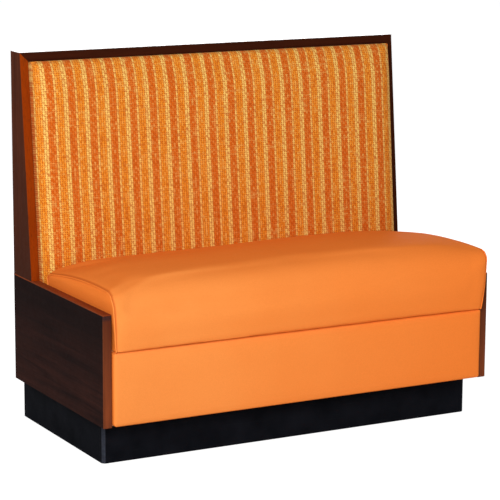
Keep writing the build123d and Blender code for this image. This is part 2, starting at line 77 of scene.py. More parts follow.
class Recipe:
    """One node material, put together step by step."""

    def __init__(self, name, roughness, specular):
        self.material = bpy.data.materials.new(name)
        self.material.use_nodes = True
        self.tree = self.material.node_tree
        self.tree.nodes.clear()
        output = self.add("ShaderNodeOutputMaterial")
        self.shader = self.add("ShaderNodeBsdfPrincipled")
        self.put(output.inputs["Surface"], self.shader.outputs["BSDF"])
        self.set("Roughness", roughness)
        self.set("Specular IOR Level", specular)

    def add(self, kind, inputs=(), **settings):
        """A node with these settings, and with a value or a link on each of these inputs."""
        node = self.tree.nodes.new(kind)
        for key, value in settings.items():
            setattr(node, key, value)
        for key, value in dict(inputs).items():
            self.put(node.inputs[key], value)
        return node

    def put(self, socket, value):
        if isinstance(value, bpy.types.NodeSocket):
            self.tree.links.new(value, socket)
        else:
            socket.default_value = value

    def set(self, socket_name, value):
        self.put(self.shader.inputs[socket_name], value)

    def place(self):
        """Where a point is in the object's own frame, in metres."""
        return self.add("ShaderNodeTexCoord").outputs["Object"]

    def facing(self):
        """The surface's direction in the object's own frame."""
        return self.add("ShaderNodeTexCoord").outputs["Normal"]

    def parts(self, vector):
        return self.add("ShaderNodeSeparateXYZ", {0: vector}).outputs

    def vector(self, x, y, z):
        return self.add("ShaderNodeCombineXYZ", {0: x, 1: y, 2: z}).outputs[0]

    def stored(self, name):
        return self.add("ShaderNodeAttribute", attribute_name=name)

    def stretch(self, vector, scale):
        return self.add("ShaderNodeMapping", {"Vector": vector, "Scale": scale}).outputs[0]

    def noise(self, vector, scale, detail=3.0, roughness=0.55, distortion=0.0):
        inputs = {"Vector": vector, "Scale": scale, "Detail": detail, "Roughness": roughness}
        inputs["Distortion"] = distortion
        return self.add("ShaderNodeTexNoise", inputs).outputs["Fac"]

    def cells(self, vector, scale):
        inputs = {"Vector": vector, "Scale": scale}
        return self.add("ShaderNodeTexVoronoi", inputs, feature="SMOOTH_F1").outputs["Distance"]

    def calc(self, operation, first, second=0.0):
        return self.add("ShaderNodeMath", {0: first, 1: second}, operation=operation).outputs[0]

    def times(self, first, second):
        return self.calc("MULTIPLY", first, second)

    def plus(self, first, second):
        return self.calc("ADD", first, second)

    def span(self, value, low, high, to_low=0.0, to_high=1.0):
        inputs = dict(enumerate((value, low, high, to_low, to_high)))
        return self.add("ShaderNodeMapRange", inputs).outputs[0]

    def ramp(self, share, *stops):
        made = self.add("ShaderNodeValToRGB", {0: share})
        elements = made.color_ramp.elements
        while len(elements) < len(stops):
            elements.new(0.5)
        for element, (place, colour) in zip(elements, stops):
            element.position = place
            element.color = colour
        return made.outputs["Color"]

    def mix(self, share, first, second):
        return self.add("ShaderNodeMix", {0: share, 6: first, 7: second}, data_type="RGBA").outputs[2]

    def edges(self):
        """A direction with the piece's edges eased, and how near a point is to such an edge."""
        eased = self.add("ShaderNodeBevel", {"Radius": ARRIS}, samples=4).outputs[0]
        plain = self.add("ShaderNodeNewGeometry").outputs["Normal"]
        agree = self.add("ShaderNodeVectorMath", {0: eased, 1: plain}, operation="DOT_PRODUCT")
        return eased, self.span(agree.outputs["Value"], *ARRIS_AGREEMENT)

    def bump(self, height, strength, distance, normal=None):
        inputs = {"Height": height, "Strength": strength, "Distance": distance}
        if normal is not None:
            inputs["Normal"] = normal
        return self.add("ShaderNodeBump", inputs).outputs[0]


GRAIN_STRETCH = {"x": (1.6, 44.0, 44.0), "y": (44.0, 1.6, 44.0), "z": (44.0, 44.0, 1.6)}
PORE_STRETCH = {"x": (14.0, 620.0, 620.0), "y": (620.0, 14.0, 620.0), "z": (620.0, 620.0, 14.0)}
CLOUD_SCALE = 5.5
FIGURE_SHARE = 0.62
CLOUD_SHARE = 0.55
PORE_SHARE = 0.45
PAINTED_SHADE_SHARE = 0.8
SIDE_STAIN_AND_SHADING_FACING = (0.75, 0.95)
STAIN_AND_SHADING_GRAIN = 0.3
STAIN_AND_SHADING_DARKER = 0.2
COAT_FACING = (0.9, 0.98)
COAT_WEIGHT = 0.85
COAT_ROUGHNESS = 0.3


def wood(
    name,
    along,
    dark,
    light,
    side_stain_and_shading=None,
    painted_shade_heights=None,
    polished_top=False,
    roughness=0.5,
    specular=0.015,
    worn=None,
    wear=0.0,
    pore_depth=0.00012,
):
    """Timber with its grain along one axis: figure, slow clouding, open pores and slightly worn arrises.

    One side may have a colour of its own: -1 and a colour for the faces toward the sitter, 1 for those
    behind.
    It is real staining on some pieces, painted light on one upright's front and painted shadow on the
    other's.
    The tone may grow darker from one height to another, a painted shade, and the top may be lacquered.
    """
    made = Recipe(name, roughness, specular)
    place = made.place()
    grain = made.stretch(place, GRAIN_STRETCH[along])
    figure = made.span(made.noise(grain, 1.0, detail=6.0, roughness=0.62, distortion=0.9), 0.3, 0.7)
    cloud = made.noise(place, CLOUD_SCALE, roughness=0.5)
    tone = made.plus(made.times(figure, FIGURE_SHARE), made.times(cloud, CLOUD_SHARE))
    colour = made.ramp(made.calc("SUBTRACT", tone, 0.1), (0.0, dark), (1.0, light))
    # Darker from one height to another: painted shade.
    if painted_shade_heights is not None:
        height = made.parts(place)[2]
        colour = made.mix(made.span(height, *painted_shade_heights, 0.0, PAINTED_SHADE_SHARE), colour, dark)
    # Faces turned one way take another colour: real staining on the floor board, painted light on the left
    # upright's front, painted shadow on the right upright's front.
    if side_stain_and_shading is not None:
        way, stain_and_shading = side_stain_and_shading
        begins, ends = SIDE_STAIN_AND_SHADING_FACING
        turned = made.span(made.parts(made.facing())[1], begins * way, ends * way)
        stain_and_shading_dark = tuple(STAIN_AND_SHADING_DARKER * channel for channel in stain_and_shading[:3]) + (1.0,)
        colour = made.mix(turned, colour, made.mix(made.times(figure, STAIN_AND_SHADING_GRAIN), stain_and_shading, stain_and_shading_dark))
    pores = made.noise(made.stretch(place, PORE_STRETCH[along]), 1.0, detail=2.0, roughness=0.5)
    pores = made.span(pores, 0.56, 0.68)
    colour = made.mix(made.times(pores, PORE_SHARE), colour, dark)
    eased, arris = made.edges()
    rubbed = made.span(made.noise(place, 70.0, detail=4.0), 0.35, 0.65, 0.2 * wear, wear)
    colour = made.mix(made.times(arris, rubbed), colour, worn or light)
    made.set("Base Color", colour)
    made.set("Roughness", made.span(made.noise(place, 60.0), 0.3, 0.7, roughness - 0.05, roughness + 0.07))
    made.set("Normal", made.bump(made.calc("SUBTRACT", 1.0, pores), 0.35, pore_depth, eased))
    if polished_top:
        upward = made.parts(made.facing())[2]
        made.set("Coat Weight", made.span(upward, *COAT_FACING, 0.0, COAT_WEIGHT))
        made.set("Coat Roughness", COAT_ROUGHNESS)
    return made


# The vinyl's painted shade: toward its right end, and on faces turned away from the sitter.
VINYL_FALLOFF_SPAN = (-0.6, 0.6)
VINYL_FALLOFF_SHARE = 0.95
VINYL_LIGHT_FACING = (-0.97, 0.2)
VINYL_SPECKLE_SHARE = 0.12
VINYL_SEAM_SHADE_SHARE = 0.7


def vinyl(name, dark, light, painted_shade_tone, hollow):
    """Upholstery vinyl: a fine pebble grain, faint clouding, and painted shade down in the seams.

    It takes a painted shade tone on the faces turned away from the sitter, and by degrees toward its right
    end, where less light falls.
    """
    made = Recipe(name, 0.55, 0.004)
    place = made.place()
    colour = made.ramp(made.noise(place, 5.0, detail=4.0, roughness=0.5), (0.3, dark), (0.7, light))
    rightward = made.parts(place)[0]
    # Painted shade growing toward the right end, where less light falls.
    colour = made.mix(made.span(rightward, *VINYL_FALLOFF_SPAN, 0.0, VINYL_FALLOFF_SHARE), colour, painted_shade_tone)
    _, forward, upward = made.parts(made.facing())
    # Faces turned away from the sitter take the painted shade tone.
    toward = made.plus(made.times(forward, VINYL_LIGHT_FACING[0]), made.times(upward, VINYL_LIGHT_FACING[1]))
    colour = made.mix(made.span(toward, 0.0, 1.0), painted_shade_tone, colour)
    speckle = made.noise(place, 420.0, detail=2.0)
    colour = made.mix(made.span(speckle, 0.35, 0.75, 0.0, VINYL_SPECKLE_SHARE), colour, hollow)
    # Painted shade down in the seams, read from the stored mask.
    colour = made.mix(made.times(made.stored("seam_shade").outputs["Fac"], VINYL_SEAM_SHADE_SHARE), colour, hollow)
    wrinkle = made.noise(place, 150.0, detail=4.0, roughness=0.6)
    height = made.plus(made.cells(place, 780.0), made.times(wrinkle, 0.8))
    made.set("Base Color", colour)
    made.set("Roughness", made.span(made.noise(place, 38.0), 0.3, 0.7, 0.5, 0.6))
    made.set("Normal", made.bump(height, 0.3, 0.0003))
    return made.material


STRIPE_PERIOD = 0.0630
STRIPE_YELLOW = 2 / 9
STRIPE_RUST = 3 / 9
STRIPE_TAN = 1 / 9
STRIPE_START = 0.0060
YARNS_A_PERIOD = 9
YARN_PITCH = STRIPE_PERIOD / YARNS_A_PERIOD
PICK_PITCH = 0.0062
DASH_PITCH = 0.0180
YARN_STEP = 7.31
YARN_WANDER = 0.0009
STRIPE_SOFTNESS = 0.014
SLUB_LIGHT = 0.4
SLUB_DARK = 0.5
DASH_LIGHT = 0.45
DASH_DARK = 0.38
DASH_LEAST = 0.25
FLECK_SHARE = 0.7
HOLLOW_SHADE_SHARE = 0.75


def striped_chenille(name):
    """Woven stripes of slubby yarn.

    The mesh stores each point's place on the cloth: across, along, and across the stripes.
    """
    made = Recipe(name, 0.9, 0.04)
    across, along, stripe_place = made.parts(made.stored("cloth").outputs["Vector"])

    def cloth_noise(wide, wide_scale, along_scale, seed, roughness=0.6):
        """Unevenness with a scale of its own each way of the cloth."""
        spot = made.vector(made.times(wide, wide_scale), made.times(along, along_scale), seed)
        return made.noise(spot, 1.0, 2.0, roughness)

    ragged = made.span(cloth_noise(stripe_place, 60.0, 110.0, 1.0), 0.25, 0.75, -YARN_WANDER, YARN_WANDER)
    first = STRIPE_START - STRIPE_YELLOW * STRIPE_PERIOD / 2
    from_first = made.calc("SUBTRACT", made.plus(stripe_place, ragged), first)
    yarn_place = made.calc("DIVIDE", from_first, YARN_PITCH)
    yarn = made.calc("FLOOR", yarn_place)
    from_centre = made.calc("SUBTRACT", made.calc("SUBTRACT", yarn_place, yarn), 0.5)

    def yarn_noise(per_metre, seed):
        """Unevenness along each yarn that has nothing to do with the next yarn's."""
        return cloth_noise(yarn, YARN_STEP, per_metre, seed)

    share = made.calc("FRACT", made.plus(made.calc("DIVIDE", yarn_place, YARNS_A_PERIOD), 10.0))
    lean = made.times(made.calc("PINGPONG", yarn, 1.0), pi)
    stagger = made.plus(made.times(from_centre, 1.0), made.times(yarn_noise(16.0, 2.0), 6.0))
    dash = made.calc("COSINE", made.plus(made.times(along, 2 * pi / DASH_PITCH), made.plus(lean, stagger)))
    rust_at = STRIPE_YELLOW
    tan_at = rust_at + STRIPE_RUST
    orange_at = tan_at + STRIPE_TAN
    stops = [(0.0, "yellow")]
    for place, before, after in (
        (rust_at, "yellow", "rust"),
        (tan_at, "rust", "tan"),
        (orange_at, "tan", "orange"),
    ):
        stops += [(place - STRIPE_SOFTNESS, before), (place + STRIPE_SOFTNESS, after)]
    stops += [(1.0 - STRIPE_SOFTNESS, "orange"), (1.0, "yellow")]
    colour = made.ramp(share, *((place, STRIPE_COLOURS[kind]) for place, kind in stops))
    slub = made.plus(made.times(yarn_noise(95.0, 3.0), 0.6), made.times(yarn_noise(16.0, 4.0), 0.4))
    colour = made.mix(made.span(slub, 0.51, 0.62, 0.0, SLUB_LIGHT), colour, STRIPE_COLOURS["slub"])
    colour = made.mix(made.span(slub, 0.49, 0.38, 0.0, SLUB_DARK), colour, STRIPE_COLOURS["shade"])
    in_yellow = made.calc("LESS_THAN", share, rust_at)
    in_tan = made.times(made.calc("GREATER_THAN", share, tan_at), made.calc("LESS_THAN", share, orange_at))
    twisted = made.span(made.plus(in_yellow, in_tan), 0.0, 1.0, DASH_LEAST, 1.0)
    light_dash = made.times(made.span(dash, 0.0, 0.9, 0.0, DASH_LIGHT), twisted)
    dark_dash = made.times(made.span(dash, -0.2, -0.9, 0.0, DASH_DARK), twisted)
    colour = made.mix(light_dash, colour, STRIPE_COLOURS["slub"])
    colour = made.mix(dark_dash, colour, STRIPE_COLOURS["shade"])
    fleck = cloth_noise(across, 330.0, 260.0, 7.0, 0.7)
    colour = made.mix(made.span(fleck, 0.48, 0.36, 0.0, FLECK_SHARE), colour, STRIPE_COLOURS["fleck"])
    pick_turn = made.times(along, 2 * pi / PICK_PITCH)
    pick = made.calc("COSINE", made.plus(pick_turn, made.times(yarn_noise(24.0, 6.0), 5.0)))
    # Darker between the yarns and along the picks: painted shade in the weave's hollows.
    crown = made.calc("COSINE", made.times(from_centre, 2 * pi))
    hollow = made.span(made.plus(crown, made.times(pick, 0.7)), 0.0, -1.4, 0.0, HOLLOW_SHADE_SHARE)
    colour = made.mix(hollow, colour, STRIPE_COLOURS["fleck"])
    made.set("Base Color", colour)
    fuzz = cloth_noise(across, 1500.0, 900.0, 5.0, 0.55)
    height = made.plus(made.times(pick, 0.35), made.plus(slub, made.times(fuzz, 0.6)))
    height = made.plus(made.times(crown, 0.5), height)
    made.set("Normal", made.bump(height, 0.55, 0.0008))
    made.set("Sheen Weight", 0.04)
    made.set("Sheen Roughness", 0.5)
    return made.material


# Reach of the painted highlight along the plinth's rounded front corners.
LAMINATE_CORNER_HIGHLIGHT_REACH = 0.0085


def black_laminate(name):
    """Matt black plinth board, a little worn, with a patchy, greyer painted highlight along its rounded
    front corners.
    """
    made = Recipe(name, 0.6, 0.008)
    place = made.place()
    across, depth, _ = made.parts(place)
    scuff = made.noise(made.stretch(place, (6.0, 6.0, 160.0)), 1.0, detail=5.0, roughness=0.7)
    colour = made.ramp(made.noise(place, 14.0), (0.3, srgb(12, 13, 17)), (0.7, srgb(20, 21, 26)))
    colour = made.mix(made.span(scuff, 0.62, 0.78, 0.0, 0.15), colour, srgb(58, 60, 64))
    # A patchy painted highlight, lighter grey, along the rounded front corners.
    low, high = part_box("plinth_front_board")
    at_end = made.calc("GREATER_THAN", made.calc("ABSOLUTE", across), high[0] - LAMINATE_CORNER_HIGHLIGHT_REACH)
    at_front = made.calc("LESS_THAN", depth, low[1] + LAMINATE_CORNER_HIGHLIGHT_REACH)
    patchy = made.span(made.noise(place, 90.0, detail=4.0), 0.3, 0.6, 0.5, 1.0)
    colour = made.mix(made.times(made.times(at_end, at_front), patchy), colour, srgb(52, 55, 64))
    eased, arris = made.edges()
    colour = made.mix(made.times(arris, 0.3), colour, srgb(70, 72, 76))
    made.set("Base Color", colour)
    made.set("Roughness", made.span(made.noise(place, 30.0), 0.3, 0.7, 0.52, 0.66))
    made.set("Normal", made.bump(made.noise(place, 700.0, detail=2.0), 0.25, 0.0002, eased))
    return made.material


def woven(name, dark, light, pitch):
    """A plain weave of flat threads, for webbing and lining cloth."""
    made = Recipe(name, 0.85, 0.15)
    place = made.place()
    across, depth, _ = made.parts(place)
    one = made.calc("SINE", made.times(across, 2 * pi / pitch))
    two = made.calc("SINE", made.times(depth, 2 * pi / pitch))
    weave = made.times(one, two)
    blotch = made.span(made.noise(place, 30.0), 0.3, 0.7, -0.2, 0.3)
    shade = made.plus(made.span(weave, -1.0, 1.0, 0.2, 0.7), blotch)
    made.set("Base Color", made.ramp(shade, (0.0, dark), (1.0, light)))
    made.set("Normal", made.bump(weave, 0.5, 0.0004))
    return made.material


def steel(name):
    """Zinc-plated screws, faintly brushed."""
    made = Recipe(name, 0.35, 0.5)
    brushed = made.noise(made.stretch(made.place(), (400.0, 400.0, 60.0)), 1.0)
    made.set("Base Color", made.ramp(brushed, (0.2, srgb(150, 148, 142)), (0.8, srgb(205, 203, 196))))
    made.set("Metallic", 1.0)
    made.set("Roughness", made.span(brushed, 0.2, 0.8, 0.25, 0.45))
    made.set("Normal", made.bump(brushed, 0.2, 0.0001))
    return made.material


VENEER = (srgb(24, 17, 17), srgb(64, 36, 30))
STAIN = (srgb(60, 28, 16), srgb(102, 50, 30))
# The left upright's front: the solid wood's redder tone with painted light on it.
FRONT_TONE_AND_PAINTED_LIGHT = srgb(150, 57, 6)
STAIN_WORN = srgb(178, 92, 44)
EDGING = (srgb(104, 44, 20), srgb(150, 70, 34))
FRONT_EDGING = (srgb(74, 38, 26), srgb(146, 74, 40))
FRONT_EDGING_WORN = srgb(176, 88, 46)
EDGING_KNOT = srgb(48, 36, 38)
EDGING_KNOT_REACH = 0.015
CAP = (srgb(44, 17, 8), srgb(68, 28, 13))
# Painted shadow for the right upright's front faces, as dark as the cap's front.
PAINTED_SHADOW_FRONT = srgb(60, 24, 10)
PINE = (srgb(176, 134, 84), srgb(222, 188, 138))
PLY = (srgb(160, 118, 74), srgb(208, 168, 116))
# Seat vinyl: two clouding tones, a painted shade tone, and a darker tone for speckle and painted seam
# shade.
SEAT_VINYL = (srgb(238, 142, 69), srgb(243, 150, 76), srgb(249, 131, 52), srgb(186, 84, 30))
STRIPE_COLOURS = {
    "yellow": srgb(250, 204, 108),
    "rust": srgb(220, 108, 28),
    "tan": srgb(242, 186, 96),
    "orange": srgb(238, 144, 38),
    "slub": srgb(246, 204, 114),
    "shade": srgb(184, 76, 18),
    "fleck": srgb(178, 66, 6),
}


def knotted(made, node_name, reach):
    """Darken the top end of an edging strip, where end grain and filler show at the corner."""
    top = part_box(node_name)[1][2]
    height = made.parts(made.place())[2]
    patchy = made.span(made.noise(made.place(), 220.0), 0.3, 0.6, 0.35, 1.0)
    share = made.times(made.span(height, top - reach, top - reach / 2), patchy)
    socket = made.shader.inputs["Base Color"]
    made.set("Base Color", made.mix(share, socket.links[0].from_socket, EDGING_KNOT))
    return made


# The end panels grow darker toward their tops: painted shade.
panel_wood = wood("panel_veneer", "y", *VENEER, painted_shade_heights=(0.22, 0.37), specular=0.006, wear=0.25).material
back_wood = wood("back_veneer", "z", *VENEER, wear=0.3).material
# The uprights grow darker toward their feet: painted shade.
upright_look = {"painted_shade_heights": (0.80, 0.45), "wear": 0.3}
# Its front faces take a redder tone with painted light on them.
left_upright_lit_front_look = {"side_stain_and_shading": (-1, FRONT_TONE_AND_PAINTED_LIGHT), "worn": STAIN_WORN, **upright_look}
left_upright_wood_front_lit = wood("left_upright_wood_front_lit", "z", *STAIN, **left_upright_lit_front_look).material
# The right upright's front faces are painted dark: a painted shadow of the back pad.
right_upright_shaded_front_look = {"side_stain_and_shading": (-1, PAINTED_SHADOW_FRONT), **upright_look}
right_upright_wood_front_shaded = wood("right_upright_wood_front_shaded", "z", *STAIN, **right_upright_shaded_front_look).material
cap_wood = wood("cap_wood", "x", *CAP, polished_top=True, wear=0.3).material
# The front edging grows darker toward its top: painted shade.
front_edging_look = {"painted_shade_heights": (0.15, 0.42), "worn": FRONT_EDGING_WORN, "wear": 0.8}
front_edging_made = wood("front_edging_wood", "z", *FRONT_EDGING, **front_edging_look)
front_edging_wood = knotted(front_edging_made, "left_front_edging", EDGING_KNOT_REACH).material
top_edging_wood = wood("top_edging_wood", "y", *EDGING, wear=0.3).material
softwood_look = {"roughness": 0.62, "specular": 0.3, "pore_depth": 0.0003}
softwoods = {way: wood(f"softwood_{way}", way, *PINE, **softwood_look).material for way in "xyz"}
plywood_look = {"roughness": 0.6, "specular": 0.3, "pore_depth": 0.0002}
plywood = wood("plywood", "x", *PLY, **plywood_look).material
floor_plywood = wood("floor_plywood", "x", *PLY, side_stain_and_shading=(1, srgb(44, 27, 22)), **plywood_look).material
dowel_wood = wood("dowel_wood", "z", *PINE, roughness=0.55, specular=0.3).material
plinth_black = black_laminate("plinth_black")
seat_vinyl = vinyl("seat_vinyl", *SEAT_VINYL)
stripes = striped_chenille("stripe_fabric")
webbing = woven("webbing", srgb(40, 38, 36), srgb(112, 104, 92), 0.0026)
lining = woven("lining_cloth", srgb(20, 20, 22), srgb(50, 50, 54), 0.0012)
screw_steel = steel("screw_steel")

# The first row that has a word of the piece's name gives its material
MATERIAL_WORDS = (
    (panel_wood, "end_panel"),
    (front_edging_wood, "front_edging"),
    (top_edging_wood, "top_edging"),
    (dowel_wood, "upright_dowels"),
    (left_upright_wood_front_lit, "left_upright"),
    (right_upright_wood_front_shaded, "right_upright"),
    (cap_wood, "top_cap"),
    (back_wood, "outer_back_panel"),
    (screw_steel, "screws"),
    (softwoods["y"], "cross_members", "ledger", "seat_left_rail", "seat_right_rail", "inner_rail"),
    (softwoods["z"], "corner_blocks", "back_stud"),
    (plinth_black, "plinth"),
    (floor_plywood, "box_floor"),
    (plywood, "back_board", "apron_board", "centre_partition"),
    (softwoods["x"], "rail", "cleat", "corner_braces"),
    (webbing, "webbing"),
    (lining, "cloth"),
)
for node_name, node in nodes.items():
    fitting = [made for made, *words in MATERIAL_WORDS if any(word in node_name for word in words)]
    node.data.materials.clear()
    node.data.materials.append(fitting[0] if fitting else plywood)

# Mesh helpers


def smooth_step(value):
    share = min(max(value, 0.0), 1.0)
    return share * share * (3 - 2 * share)


def waver(place, scale, seed):
    """A gentle unevenness between about -1 and 1 that is the same on each run."""
    return noise.noise(Vector(place) * scale + Vector((seed, seed, seed)))


def piece(name, points, faces, material, body, slot, sharp):
    """A closed mesh with its faces turned outward, riding on a body."""
    mesh = bpy.data.meshes.new(name)
    mesh.from_pydata([tuple(p) for p in points], [], faces)
    made = bmesh.new()
    made.from_mesh(mesh)
    bmesh.ops.recalc_face_normals(made, faces=made.faces)
    made.to_mesh(mesh)
    made.free()
    for polygon in mesh.polygons:
        polygon.use_smooth = True
    mesh.set_sharp_from_angle(angle=radians(sharp))
    mesh.materials.append(material)
    made_object = bpy.data.objects.new(name, mesh)
    bpy.context.scene.collection.objects.link(made_object)
    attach(made_object, body)
    return made_object


def store(made_object, name, values):
    """Keep one number or one vector for each point of a piece, for its material to read."""
    values = np.asarray(values, np.float32)
    kind, key = ("FLOAT", "value") if values.ndim == 1 else ("FLOAT_VECTOR", "vector")
    attribute = made_object.data.attributes.new(name, kind, "POINT")
    attribute.data.foreach_set(key, values.ravel())


def rounded_path(corners, radii, run_steps, arc_steps):
    """Points along a line of runs whose inner corners are rounded."""
    corners = [np.array(c, float) for c in corners]
    points = []
    start = corners[0]
    for index, (radius, run, steps) in enumerate(zip(radii, run_steps, arc_steps), 1):
        before = corners[index] - corners[index - 1]
        after = corners[index + 1] - corners[index]
        before /= np.linalg.norm(before)
        after /= np.linalg.norm(after)
        turn = atan2(before[0] * after[1] - before[1] * after[0], before @ after)
        reach = radius * tan(abs(turn) / 2)
        first = corners[index] - before * reach
        points += [start + (first - start) * k / run for k in range(run)]
        centre = first + np.array([-before[1], before[0]]) * radius * np.sign(turn)
        x, y = first - centre
        for angle in (turn * k / steps for k in range(steps)):
            swung = (x * cos(angle) - y * sin(angle), x * sin(angle) + y * cos(angle))
            points.append(centre + np.array(swung))
        start = corners[index] + after * reach
    run = run_steps[-1]
    points += [start + (corners[-1] - start) * k / run for k in range(run + 1)]
    return np.array(points)


TUBE_SIDES = 10
TUBE_TAPER_RINGS = 3
TUBE_END_SHARE = 0.35


def tube(path, radius):
    """Points and faces of a round cord along a path, drawn in at its two ends."""
    path = np.array(path, float)
    ways = np.gradient(path, axis=0)
    ways /= np.linalg.norm(ways, axis=1)[:, None]
    side = np.array((1.0, 0.0, 0.0))
    points, faces = [], []
    last = len(path) - 1
    for index, (centre, way) in enumerate(zip(path, ways)):
        side = side - way * (side @ way)
        side /= np.linalg.norm(side)
        up = np.cross(way, side)
        full = min(1.0, min(index, last - index) / TUBE_TAPER_RINGS)
        here = radius * (TUBE_END_SHARE + (1 - TUBE_END_SHARE) * full)
        for k in range(TUBE_SIDES):
            a = 2 * pi * k / TUBE_SIDES
            points.append(centre + (side * cos(a) + up * sin(a)) * here)
    rings = [range(index * TUBE_SIDES, (index + 1) * TUBE_SIDES) for index in range(last + 1)]
    for ring, after in zip(rings, rings[1:]):
        faces += band(ring, after)
    faces += [tuple(rings[0]), tuple(rings[-1])]
    return points, faces


def spread(span, edge_steps, step):
    """Places from -span to span, with one at the middle, close together at both ends."""
    inner = span - edge_steps[-1]
    half_count = max(1, round(inner / step))
    middle_run = [inner * k / half_count for k in range(-half_count, half_count + 1)]
    end_run = [span - e for e in edge_steps[:-1]]
    return np.array([-place for place in end_run] + middle_run + end_run[::-1])


def grid_faces(wide, tall):
    """Quads over points listed column by column."""
    corners = [i * tall + j for i in range(wide - 1) for j in range(tall - 1)]
    return [(a, a + tall, a + tall + 1, a + 1) for a in corners]


def band(outer, inner):
    """Quads between two closed loops of points."""
    ahead = [(k + 1) % len(outer) for k in range(len(outer))]
    return [(outer[k], outer[n], inner[n], inner[k]) for k, n in enumerate(ahead)]


def closing_strips(loop, wide):
    """Faces that close a four-sided loop, strip by strip between its two sides of this many points."""
    turn = len(loop) // 2
    lower, right = loop[:wide], loop[wide:turn]
    upper, left = loop[turn:turn + wide][::-1], loop[turn + wide:]
    faces = []
    for i in range(wide - 1):
        face = [lower[i], lower[i + 1]]
        if i == wide - 2:
            face += right
        face += [upper[i + 1], upper[i]]
        if i == 0:
            face += left
        faces.append(tuple(face))
    return faces


CLOTH_FRAMES = 20
CLOTH_PRESSURE = 4.0
CLOTH_MASS = 0.35
CLOTH_TENSION = 40.0
CLOTH_BENDING = 6.0
CLOTH_SMOOTHINGS = 12


def filled(grid, most):
    """A grid of cloth pushed out by the foam behind it, held along its sewn rim, by a cloth simulation.

    What the simulation moved is smoothed a little, as thick stuff would, and kept within the given reach.
    """
    wide, tall, _ = grid.shape
    mesh = bpy.data.meshes.new("filling")
    mesh.from_pydata(grid.reshape(-1, 3).tolist(), [], grid_faces(wide, tall))
    made = bpy.data.objects.new("filling", mesh)
    scene = bpy.context.scene
    scene.collection.objects.link(made)
    places = [(i, j) for i in range(wide) for j in range(tall)]
    rim = [i * tall + j for i, j in places if i in (0, wide - 1) or j in (0, tall - 1)]
    made.vertex_groups.new(name="sewn").add(rim, 1.0, "REPLACE")
    cloth = made.modifiers.new("cloth", "CLOTH")
    cloth.point_cache.frame_start = 1
    cloth.point_cache.frame_end = CLOTH_FRAMES
    cloth.settings.vertex_group_mass = "sewn"
    cloth.settings.mass = CLOTH_MASS
    cloth.settings.tension_stiffness = CLOTH_TENSION
    cloth.settings.compression_stiffness = CLOTH_TENSION
    cloth.settings.bending_stiffness = CLOTH_BENDING
    cloth.settings.use_pressure = True
    cloth.settings.uniform_pressure_force = CLOTH_PRESSURE
    cloth.settings.effector_weights.gravity = 0.0
    for number in range(1, CLOTH_FRAMES + 1):
        scene.frame_set(number)
    settled = made.evaluated_get(bpy.context.evaluated_depsgraph_get()).data
    moved = np.empty(len(settled.vertices) * 3)
    settled.vertices.foreach_get("co", moved)
    bpy.data.objects.remove(made)
    bpy.data.meshes.remove(mesh)
    scene.frame_set(1)
    shift = moved.reshape(grid.shape) - grid
    for _ in range(CLOTH_SMOOTHINGS):
        beside = shift[:-2, 1:-1] + shift[2:, 1:-1] + shift[1:-1, :-2] + shift[1:-1, 2:]
        shift[1:-1, 1:-1] = shift[1:-1, 1:-1] / 2 + beside / 8
    length = np.maximum(np.linalg.norm(shift, axis=2), 1e-9)[..., None]
    return grid + shift / length * most * np.tanh(length / most)


# Seat cushion, its boxings and its welts

cover_low, cover_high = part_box("seat_cover")
front_rail_low, front_rail_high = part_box("seat_front_rail")
rear_rail_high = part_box("seat_rear_rail")[1]
deck_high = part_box("seat_deck_cloth")[1]
panel_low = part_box("right_end_panel")[0]
edging_low, edging_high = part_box("right_top_edging")
upright_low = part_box("right_upright")[0]
apron_low, apron_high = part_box("apron_cover")
apron_board_low, apron_board_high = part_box("apron_board")
cap_low, cap_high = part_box("top_cap")

panel_front = edging_low[1]
panel_top = edging_high[2]
panel_inner = panel_low[0]
seat_foot = cover_low[2]
seat_rear = cover_high[1]

SEAT_SIDE_GAP = 0.0002
SEAT_END_HEIGHT = 0.160
SEAT_SHOULDER = (0.019, 0.010)
SEAT_CROWN = (0.0125, 0.0205)
SEAT_CROWN_POWER = (8.0, 3.0)
SEAT_RIGHT_RISE = 0.013
SEAT_LIP = (0.016, 0.019)
SEAT_BULGE = (0.022, 0.036)
SEAT_BROW_ENDS = (0.043, 0.028)
SEAT_BROW = 0.062
SEAT_REAR_ROUND = (0.022, 0.018)
SEAT_REAR_DRAW = 0.012
SEAT_REAR_EASE = 0.0028
SEAT_UNDER = 0.007
SEAT_BULGE_HEIGHT = 0.072
SEAT_BULGE_ROUND = 0.240
SEAT_FOOT_ROUND = 0.004
SEAT_APEX_DEPTH = 0.100
SEAT_ARCH = 0.29
SEAT_RUN_STEPS = (2, 7, 6, 36, 12, 2)
SEAT_ARC_STEPS = (5, 9, 18, 10, 5)
SEAT_COLUMNS = 78
SEAT_SHOULDER_POWER = 16

seat_half = cover_high[0] - SEAT_SIDE_GAP


